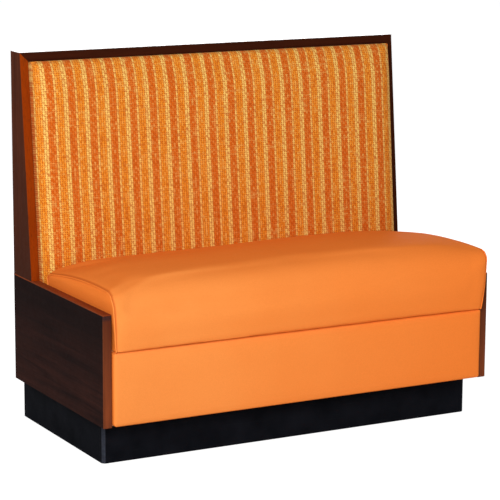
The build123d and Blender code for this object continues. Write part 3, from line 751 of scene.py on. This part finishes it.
def seat_outline(share):
    """The cushion's outline from the side, as (y, z) points, at a share of its half width."""
    rightward = smooth_step((share + 1) / 2)
    full_shoulder, full_crown, crown_power = (
        left + (right - left) * rightward for left, right in (SEAT_SHOULDER, SEAT_CROWN, SEAT_CROWN_POWER)
    )
    shoulder = (1 - abs(share) ** SEAT_SHOULDER_POWER) ** (1 / 3)
    crown = 1 - abs(share) ** crown_power
    left_brow, right_brow = SEAT_BROW_ENDS
    brow_range = (left_brow + (right_brow - left_brow) * rightward, SEAT_BROW)
    ranges = (SEAT_LIP, SEAT_BULGE, brow_range, SEAT_REAR_ROUND)
    lip, bulge, brow, rear_round = (low + (high - low) * shoulder for low, high in ranges)
    height = SEAT_END_HEIGHT + full_shoulder * shoulder + full_crown * crown + SEAT_RIGHT_RISE * rightward
    rear = seat_rear - SEAT_REAR_EASE - SEAT_REAR_DRAW * (1 - shoulder)
    front = panel_front - bulge
    corners = [
        (panel_front - lip + SEAT_UNDER, 0.0),
        (panel_front - lip, 0.0),
        (front, SEAT_BULGE_HEIGHT),
        (front, height),
        (rear, height),
        (rear, 0.0),
        (rear - SEAT_UNDER, 0.0),
    ]
    radii = (SEAT_FOOT_ROUND, SEAT_BULGE_ROUND, brow, rear_round, SEAT_FOOT_ROUND)
    path = rounded_path(corners, radii, SEAT_RUN_STEPS, SEAT_ARC_STEPS)
    fall = SEAT_ARCH * (path[:, 0] - panel_front - SEAT_APEX_DEPTH) ** 2
    path[:, 1] = seat_foot + path[:, 1] * (1 - fall / height)
    return path


FRONT_SPREAD = ((0.326, 0.0), (0.354, 0.0035), (0.390, 0.0062), (0.428, 0.0088), (0.475, 0.0115))
FRONT_SPREAD_REACH = 0.006
BESIDE_SPREAD = 0.0058
BESIDE_SPREAD_RISE = 0.05
TOP_SPREAD = 0.0098
TOP_SPREAD_RISE = 0.034
PANEL_CLEAR = 0.0025


def seat_side(y, z):
    """How far the cushion's end stands out: free above the panel and in front of it, held in beside it."""
    heights, reaches = zip(*FRONT_SPREAD)
    ahead = smooth_step((panel_front - PANEL_CLEAR - y) / FRONT_SPREAD_REACH)
    levels = (panel_top - BESIDE_SPREAD_RISE, panel_top, panel_top + TOP_SPREAD_RISE)
    above = float(np.interp(z, levels, (0.0, BESIDE_SPREAD, TOP_SPREAD)))
    return seat_half + max(above, ahead * float(np.interp(z, heights, reaches)))


END_CROWD = 0.93
SIDE_POWER = 9

crowd_turn = END_CROWD * pi / 2
steps = range(-SEAT_COLUMNS, SEAT_COLUMNS + 1)
turns = [sin(crowd_turn * k / SEAT_COLUMNS) / sin(crowd_turn) for k in steps]
outlines = [seat_outline(t) for t in turns]
columns = len(turns)
rows = len(outlines[0])
grid = np.empty((columns, rows, 3))
for i, (t, outline) in enumerate(zip(turns, outlines)):
    for j, (y, z) in enumerate(outline):
        grid[i, j] = (t * (seat_half + (seat_side(y, z) - seat_half) * abs(t) ** SIDE_POWER), y, z)


def outward_ways(grid):
    """The direction away from the foam at each point of the cushion's grid."""
    ways = np.cross(np.gradient(grid, axis=1), np.gradient(grid, axis=0))
    ways /= np.maximum(np.linalg.norm(ways, axis=2), 1e-9)[..., None]
    middle = ways[grid.shape[0] // 2, grid.shape[1] // 2]
    return ways if middle[2] > 0 else -ways


def lengths_along(grid, axis):
    """How far each point lies along its row of the grid."""
    steps = np.linalg.norm(np.diff(grid, axis=axis), axis=2)
    zeros = np.zeros_like(np.take(steps, [0], axis=axis))
    return np.concatenate([zeros, np.cumsum(steps, axis=axis)], axis=axis)


SEAT_FILL_INSET = 0.004
SEAT_FILL_MOST = 0.007
SEAT_FILL_RIM = 0.05

outward = outward_ways(grid)
from_foot = lengths_along(grid, 1)
from_foot = np.minimum(from_foot, from_foot[:, -1:] - from_foot)
from_end = seat_half * (1 - np.abs(np.array(turns)))[:, None] + 0 * from_foot
ease = np.vectorize(smooth_step)
slack = ease(from_end / SEAT_FILL_RIM) * ease(from_foot / SEAT_FILL_RIM)
grid = filled(grid - outward * (slack * SEAT_FILL_INSET)[..., None], SEAT_FILL_MOST)

# How far the painted shade reaches from the seams.
SEAM_SHADE_WIDTH = 0.004
SEAM_DRAW = 0.0011
SEAM_DRAW_REACH = 0.006
UNEVEN_BROAD = 0.0014
UNEVEN_RIPPLE = 0.0003
UNEVEN_RIM = 0.05
UNEVEN_FOOT = 0.008
PUCKER = 0.0004
PUCKER_FROM_SEAM = 0.012
PUCKER_REACH = 0.022
HEM_WAVE = 0.0011
HEM_WAVE_REACH = 0.03

cushion_seam_shade = []
for i in range(columns):
    for j in range(rows):
        x, y, z = grid[i, j]
        end_gap, foot_gap = from_end[i, j], from_foot[i, j]
        free = smooth_step(end_gap / UNEVEN_RIM) * smooth_step((foot_gap - UNEVEN_FOOT) / UNEVEN_RIM)
        broad = waver((x, y * 1.3, z * 1.3), scale=5.5, seed=3.1) * UNEVEN_BROAD
        ripple = waver((x * 0.5, y, z), scale=26.0, seed=9.7) * UNEVEN_RIPPLE
        near_seam = 1 - smooth_step(abs(end_gap - PUCKER_FROM_SEAM) / PUCKER_REACH)
        pucker = waver((x * 3.0, y, z), scale=34.0, seed=5.3) * PUCKER * near_seam
        draw_in = SEAM_DRAW * (1 - smooth_step(end_gap / SEAM_DRAW_REACH))
        grid[i, j] += outward[i, j] * (free * (broad + ripple) + pucker - draw_in)
        if j < rows // 3:
            near_hem = 1 - smooth_step(foot_gap / HEM_WAVE_REACH)
            grid[i, j, 2] += waver((x, 0.0, 0.0), scale=21.0, seed=1.9) * HEM_WAVE * near_hem
        # Painted shade mask: darker vinyl close to the seams.
        cushion_seam_shade.append(1 - smooth_step(end_gap / SEAM_SHADE_WIDTH))

cushion_points = [tuple(p) for p in grid.reshape(-1, 3)]
cushion_faces = grid_faces(columns, rows)

FOOT_STEPS = 26
BOXING_RINGS = 12
BOXING_RING_POWER = 1.5
BOXING_CENTRE_RISE = 0.085
BOXING_BULGE = 0.0012
BOXING_BULGE_CLEAR = 0.012
BOXING_BULGE_REACH = 0.02

boxing_centre = np.array([(panel_front + seat_rear) / 2, seat_foot + BOXING_CENTRE_RISE])
end_feet = {}
for end, sign in ((0, -1), (columns - 1, 1)):
    first, last = grid[end, rows - 1], grid[end, 0]
    foot_run = [len(cushion_points) + k for k in range(FOOT_STEPS - 1)]
    cushion_points += [tuple(first + (last - first) * k / FOOT_STEPS) for k in range(1, FOOT_STEPS)]
    cushion_seam_shade += [0.0] * len(foot_run)
    end_feet[sign] = foot_run
    loop = [end * rows + j for j in range(rows)] + foot_run
    start = np.array([cushion_points[k] for k in loop])[:, 1:]
    previous = loop
    for ring in range(1, BOXING_RINGS + 1):
        share = 1 - (ring / (BOXING_RINGS + 1)) ** BOXING_RING_POWER
        current = [len(cushion_points) + k for k in range(len(loop))]
        for place in start:
            y, z = boxing_centre + (place - boxing_centre) * share
            depth = np.linalg.norm(place - boxing_centre) * (1 - share)
            above = smooth_step((z - panel_top - BOXING_BULGE_CLEAR) / BOXING_BULGE_REACH)
            bulge = BOXING_BULGE * above * smooth_step(depth / BOXING_BULGE_REACH)
            x = seat_side(y, z) + bulge - SEAM_DRAW * (1 - smooth_step(depth / SEAM_DRAW_REACH))
            cushion_points.append((sign * x, y, z))
            # Painted shade mask: darker vinyl close to the seams.
            cushion_seam_shade.append(1 - smooth_step(depth / SEAM_SHADE_WIDTH))
        cushion_faces += band(previous, current)
        previous = current
    cushion_faces.append(tuple(previous))

# The cushion is hollow underneath, to sit over its wooden frame

POCKET_GAP = 0.0006
pocket_half = front_rail_high[0] + POCKET_GAP
pocket_front = front_rail_low[1] - POCKET_GAP
pocket_rear = rear_rail_high[1] + POCKET_GAP
pocket_top = deck_high[2] + POCKET_GAP
foot_loop = [i * rows for i in range(columns)]
foot_loop += reversed(end_feet[1])
foot_loop += [i * rows + rows - 1 for i in reversed(range(columns))]
foot_loop += end_feet[-1]
end_places = [pocket_front + (pocket_rear - pocket_front) * k / FOOT_STEPS for k in range(1, FOOT_STEPS)]
pocket_places = [(t * pocket_half, pocket_front) for t in turns]
pocket_places += [(pocket_half, y) for y in end_places]
pocket_places += [(t * pocket_half, pocket_rear) for t in reversed(turns)]
pocket_places += [(-pocket_half, y) for y in reversed(end_places)]
outer = foot_loop
for height in (seat_foot, pocket_top):
    inner = [len(cushion_points) + k for k in range(len(pocket_places))]
    cushion_points += [(x, y, height) for x, y in pocket_places]
    cushion_seam_shade += [0.0] * len(pocket_places)
    cushion_faces += band(outer, inner)
    outer = inner
cushion_faces += closing_strips(outer, columns)

cushion_look = (seat_vinyl, "seat_unit", "seat_vinyl")
cushion = piece("seat_cushion", cushion_points, cushion_faces, *cushion_look, sharp=55.0)
# The vinyl darkens where this mask is high: painted shade in the seams.
store(cushion, "seam_shade", cushion_seam_shade)
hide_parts("seat_cover", "seat_foam", "seat_left_boxing", "seat_right_boxing")

WELT_RADIUS = 0.0021
WELT_PROUD = 0.0004
for end, side_name, sign in ((0, "left", -1), (columns - 1, "right", 1)):
    path = [
        Vector((sign * (seat_side(y, z) + WELT_PROUD / 2), y, z)) + Vector(outward[end, j]) * WELT_PROUD
        for j, (y, z) in enumerate(outlines[end])
        if SEAT_RUN_STEPS[0] <= j < rows - SEAT_RUN_STEPS[-1]
    ]
    points, faces = tube([tuple(p) for p in path], WELT_RADIUS)
    welt = piece(f"seat_welt_{side_name}", points, faces, seat_vinyl, "seat_unit", "welt_vinyl", sharp=60.0)
    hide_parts(f"seat_{side_name}_welt")

# Slabs of foam and cloth

SLAB_SIDE_SHARES = (0.35, 0.7, 1.0)
SLAB_SHARP = 65.0


def slab(
    name, origin, up_way, out_way, half, length, edge_steps, step, height, corner, foot, pocket, fill, look
):
    """A stuffed slab: a domed face over straight edges, with a flat back or a pocket for its board."""
    half_length = length / 2
    across = spread(half, edge_steps, step)
    along = spread(half_length, edge_steps, step)
    wide, tall = len(across), len(along)
    face_grid = np.empty((wide, tall, 3))
    for i, a in enumerate(across):
        for j, v in enumerate(along):
            inset_a = half - abs(a)
            inset_v = half_length - abs(v)
            x, y = a, v
            if inset_a < corner and inset_v < corner:
                s, t = (corner - inset_a) / corner, (corner - inset_v) / corner
                x = np.sign(a) * (half - corner + corner * s * (1 - t * t / 2) ** 0.5)
                y = np.sign(v) * (half_length - corner + corner * t * (1 - s * s / 2) ** 0.5)
            face_grid[i, j] = (x, y, height(inset_a, inset_v, x, y))
    face_grid = filled(face_grid, fill)
    lengths = lengths_along(face_grid, 0)
    lengths -= lengths[wide // 2][None, :]
    climbs = lengths_along(face_grid, 1)
    climbs -= climbs[:, tall // 2][:, None]
    local = [tuple(p) for p in face_grid.reshape(-1, 3)]
    cloth = [(lengths[i, j], climbs[i, j], lengths[i, j]) for i in range(wide) for j in range(tall)]
    faces = grid_faces(wide, tall)
    loop = [i * tall for i in range(wide)]
    loop += [(wide - 1) * tall + j for j in range(1, tall)]
    loop += [i * tall + tall - 1 for i in reversed(range(wide - 1))]
    loop += reversed(range(1, tall - 1))
    rim = [local[k] for k in loop]
    rim_cloth = [cloth[k] for k in loop]

    def add_ring(previous, places, cloth_places):
        """One more loop of points round the slab, joined to the loop before it."""
        current = [len(local) + k for k in range(len(places))]
        local.extend(places)
        cloth.extend(cloth_places)
        faces.extend(band(previous, current))
        return current

    previous = loop
    for share in SLAB_SIDE_SHARES:
        places, cloth_places = [], []
        for k, ((x, y, top), (cloth_x, cloth_y, stripe)) in enumerate(zip(rim, rim_cloth)):
            before, after = rim[k - 1], rim[(k + 1) % len(rim)]
            way = np.array([after[1] - before[1], before[0] - after[0]])
            way /= np.linalg.norm(way)
            drop = (top - foot) * share
            places.append((x, y, top - drop))
            cloth_places.append((cloth_x + way[0] * drop, cloth_y + way[1] * drop, stripe))
        previous = add_ring(previous, places, cloth_places)
    if pocket is not None:
        pocket_half_width, pocket_low, pocket_high, pocket_ceiling = pocket
        for level in (foot, pocket_ceiling):
            places = [
                (
                    x / half * pocket_half_width,
                    pocket_low + (y / half_length + 1) / 2 * (pocket_high - pocket_low),
                    level,
                )
                for x, y, _ in rim
            ]
            previous = add_ring(previous, places, rim_cloth)
    faces += closing_strips(previous, wide)
    ways = np.array([(1, 0, 0), up_way, out_way])
    made = piece(name, (np.array(origin) + np.array(local) @ ways).tolist(), faces, *look)
    store(made, "cloth", cloth)
    return made


# Back pad, laid on the raked frame

foot_front = upright_low[1]
head_front = cap_low[1]
rake = atan2(head_front - foot_front, cap_high[2] - panel_top)
up_rake = Vector((0, sin(rake), cos(rake)))
out_rake = Vector((0, -cos(rake), sin(rake)))

PAD_GAP = 0.0008
PAD_DROP = 0.025
PAD_RECESS = 0.010
PAD_SIDE = 0.016
PAD_PROUD = 0.0465
PAD_FILL_INSET = 0.003
PAD_FILL_MOST = 0.005
PAD_TOP_EASE = 0.007
PAD_TOP_EASE_REACH = 0.11
PAD_UNEVEN = 0.0012
PAD_UNEVEN_RIM = 0.05
PAD_INSET = 0.170
PAD_CORNER = 0.005
PAD_STEP = 0.014
PAD_EDGES = (0.0, 0.0002, 0.0007, 0.0016, 0.003, 0.005, 0.008, 0.012, 0.018, 0.026, 0.038)

pad_half = panel_inner - PAD_GAP
pad_reach = (cap_low[2] - panel_top) / cos(rake) - PAD_GAP
pad_length = pad_reach + PAD_DROP
pad_middle = Vector((0, foot_front, panel_top)) + up_rake * (pad_reach - PAD_DROP) / 2


def pad_height(inset_a, inset_v, x, y):
    """How far the pad stands out of the frame at a place on its face, before it is filled."""
    side = max(0.0, 1 - inset_a / PAD_INSET) ** 4
    end = max(0.0, 1 - inset_v / PAD_INSET) ** 4
    share = max(0.0, 1 - (side ** 5 + end ** 5) ** 0.2) ** 0.25
    top_ease = PAD_TOP_EASE * (1 - smooth_step((pad_length / 2 - y) / PAD_TOP_EASE_REACH))
    slack = smooth_step(inset_a / PAD_UNEVEN_RIM) * smooth_step(inset_v / PAD_UNEVEN_RIM)
    uneven = waver((x, y, 0.0), scale=6.0, seed=2.2) * PAD_UNEVEN - PAD_FILL_INSET
    return PAD_SIDE + (PAD_PROUD - top_ease - PAD_SIDE) * share + uneven * slack


back_pad = slab(
    "back_pad",
    pad_middle,
    up_rake,
    out_rake,
    pad_half,
    pad_length,
    PAD_EDGES,
    PAD_STEP,
    pad_height,
    PAD_CORNER,
    -PAD_RECESS,
    None,
    PAD_FILL_MOST,
    (stripes, "carcass", "stripe_fabric", SLAB_SHARP),
)
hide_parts("back_cover", "back_foam")

# Apron under the seat

APRON_EDGES = (0.0, 0.0002, 0.0007, 0.0015, 0.0027, 0.0045, 0.008, 0.012, 0.02, 0.035)
APRON_ROUND = 0.0045
APRON_CORNER = 0.009
APRON_CROWN = 0.0012
APRON_CROWN_RIMS = (0.07, 0.06)
APRON_UNEVEN = 0.0010
APRON_UNEVEN_RIMS = (0.04, 0.03)
APRON_FILL_MOST = 0.0015
APRON_STEP = 0.016
BOARD_GAP = 0.0003
apron_half = apron_high[0]
apron_length = apron_high[2] - apron_low[2]
apron_middle = (apron_low[2] + apron_high[2]) / 2
apron_face = apron_high[1] - apron_low[1]


def apron_height(inset_a, inset_v, x, y):
    """How far the apron's face stands out of its back at a place on it, before it is filled."""

    def inside(rims):
        """0 at the apron's edges, 1 from the given reaches inward."""
        return smooth_step(inset_a / rims[0]) * smooth_step(inset_v / rims[1])

    edge = min(inset_a, inset_v)
    drop = 0.0
    if edge < APRON_ROUND:
        drop = APRON_ROUND - (APRON_ROUND ** 2 - (APRON_ROUND - edge) ** 2) ** 0.5
    crown = APRON_CROWN * inside(APRON_CROWN_RIMS)
    uneven = waver((x, y, 0.0), scale=7.0, seed=4.4) * APRON_UNEVEN * inside(APRON_UNEVEN_RIMS)
    return apron_face - drop + crown + uneven


apron = slab(
    "seat_apron",
    Vector((0, apron_high[1], apron_middle)),
    Vector((0, 0, 1)),
    Vector((0, -1, 0)),
    apron_half,
    apron_length,
    APRON_EDGES,
    APRON_STEP,
    apron_height,
    APRON_CORNER,
    0.0,
    (
        apron_board_high[0] + BOARD_GAP,
        apron_board_low[2] - BOARD_GAP - apron_middle,
        apron_board_high[2] + BOARD_GAP - apron_middle,
        apron_board_high[1] - apron_board_low[1] + BOARD_GAP,
    ),
    APRON_FILL_MOST,
    (seat_vinyl, "carcass", "seat_vinyl", SLAB_SHARP),
)
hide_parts("apron_cover", "apron_foam")

# Cloths under the seat

CLOTH_WIDE_STEPS = 48
CLOTH_DEEP_STEPS = 20
CLOTH_RIPPLE = 0.00015


def stretched_cloth(name, node_name):
    """A thin cloth tacked at its edges and drawn tight, with the least ripple between them."""
    low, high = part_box(node_name)
    points = []
    for level in (high[2], low[2]):
        for i in range(CLOTH_WIDE_STEPS + 1):
            for j in range(CLOTH_DEEP_STEPS + 1):
                a, b = i / CLOTH_WIDE_STEPS, j / CLOTH_DEEP_STEPS
                loose = min(1.0, 8 * min(a, 1 - a, b, 1 - b))
                wave = waver((a * 4.0, b * 2.0, 0.0), scale=2.6, seed=6.1) * CLOTH_RIPPLE * loose
                x = low[0] + (high[0] - low[0]) * a
                y = low[1] + (high[1] - low[1]) * b
                points.append((x, y, level + wave))
    tall = CLOTH_DEEP_STEPS + 1
    layer = (CLOTH_WIDE_STEPS + 1) * tall
    upper = grid_faces(CLOTH_WIDE_STEPS + 1, tall)
    faces = upper + [tuple(a + layer for a in reversed(face)) for face in upper]
    last = CLOTH_WIDE_STEPS * tall
    loop = [i * tall for i in range(CLOTH_WIDE_STEPS)]
    loop += [last + j for j in range(CLOTH_DEEP_STEPS)]
    loop += [i * tall + CLOTH_DEEP_STEPS for i in range(CLOTH_WIDE_STEPS, 0, -1)]
    loop += range(CLOTH_DEEP_STEPS, 0, -1)
    faces += band(loop, [place + layer for place in loop])
    made = piece(name, points, faces, lining, "seat_unit", "lining_cloth", sharp=50.0)
    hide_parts(node_name)


stretched_cloth("dust_cloth", "seat_dust_cloth")
stretched_cloth("deck_cloth", "seat_deck_cloth")

# Floor, background and light

FLOOR_HALF = 40.0
FLOOR_DROP = 0.0005
FLOOR_SEEN = srgb(160, 160, 160)
FLOOR_LIT = (srgb(238, 238, 236), srgb(243, 243, 242))
FLOOR_GLOW = 0.88
WHITE = (1.0, 1.0, 1.0, 1.0)

floor_look = Recipe("floor_white", 0.9, 0.05)
floor_path = floor_look.add("ShaderNodeLightPath").outputs["Is Camera Ray"]
mottled = floor_look.noise(floor_look.place(), 3.0, detail=4.0)
lit = floor_look.ramp(mottled, (0.3, FLOOR_LIT[0]), (0.7, FLOOR_LIT[1]))
floor_look.set("Base Color", floor_look.mix(floor_path, lit, FLOOR_SEEN))
floor_look.set("Emission Color", WHITE)
floor_look.set("Emission Strength", floor_look.times(floor_path, FLOOR_GLOW))
floor_grain = floor_look.noise(floor_look.place(), 400.0, detail=2.0)
floor_look.set("Normal", floor_look.bump(floor_grain, 0.05, 0.0005))

floor_mesh = bpy.data.meshes.new("floor")
floor_corners = [(x * FLOOR_HALF, y * FLOOR_HALF, 0.0) for x, y in ((-1, -1), (1, -1), (1, 1), (-1, 1))]
floor_mesh.from_pydata(floor_corners, [], [(0, 1, 2, 3)])
floor_mesh.materials.append(floor_look.material)
floor = bpy.data.objects.new("floor", floor_mesh)
floor.location.z = -FLOOR_DROP
bpy.context.scene.collection.objects.link(floor)

WORLD_LEVEL = 0.32
world = bpy.data.worlds.new("studio")
bpy.context.scene.world = world
world.use_nodes = True
sky = world.node_tree.nodes
sky.clear()
join = world.node_tree.links.new
world_out = sky.new("ShaderNodeOutputWorld")
choose = sky.new("ShaderNodeMixShader")
rays = sky.new("ShaderNodeLightPath")
share = rays.outputs["Is Camera Ray"]
for kind in ("Is Glossy Ray", "Is Transmission Ray"):
    either = sky.new("ShaderNodeMath")
    either.operation = "MAXIMUM"
    join(share, either.inputs[0])
    join(rays.outputs[kind], either.inputs[1])
    share = either.outputs[0]
join(share, choose.inputs[0])
for socket, level in ((1, WORLD_LEVEL), (2, 1.0)):
    background = sky.new("ShaderNodeBackground")
    background.inputs["Color"].default_value = WHITE
    background.inputs["Strength"].default_value = level
    join(background.outputs[0], choose.inputs[socket])
join(choose.outputs[0], world_out.inputs[0])

bpy.context.scene.view_settings.view_transform = "Standard"

LIGHT_AIM = Vector((0.0, -0.15, 0.55))


def softbox(name, place, power, width, height):
    """A rectangular studio light turned to the bench."""
    data = bpy.data.lights.new(name, "AREA")
    data.shape = "RECTANGLE"
    data.size = width
    data.size_y = height
    data.energy = power
    made = bpy.data.objects.new(name, data)
    made.location = place
    made.rotation_mode = "QUATERNION"
    made.rotation_quaternion = (LIGHT_AIM - Vector(place)).to_track_quat("-Z", "Y")
    bpy.context.scene.collection.objects.link(made)


softbox("key_light", place=(-3.0, -4.2, 2.6), power=227.0, width=2.0, height=2.0)
softbox("rear_light", place=(1.1, 3.3, 2.0), power=66.0, width=3.2, height=1.5)

# Bring the scene up to date

bpy.context.view_layer.update()
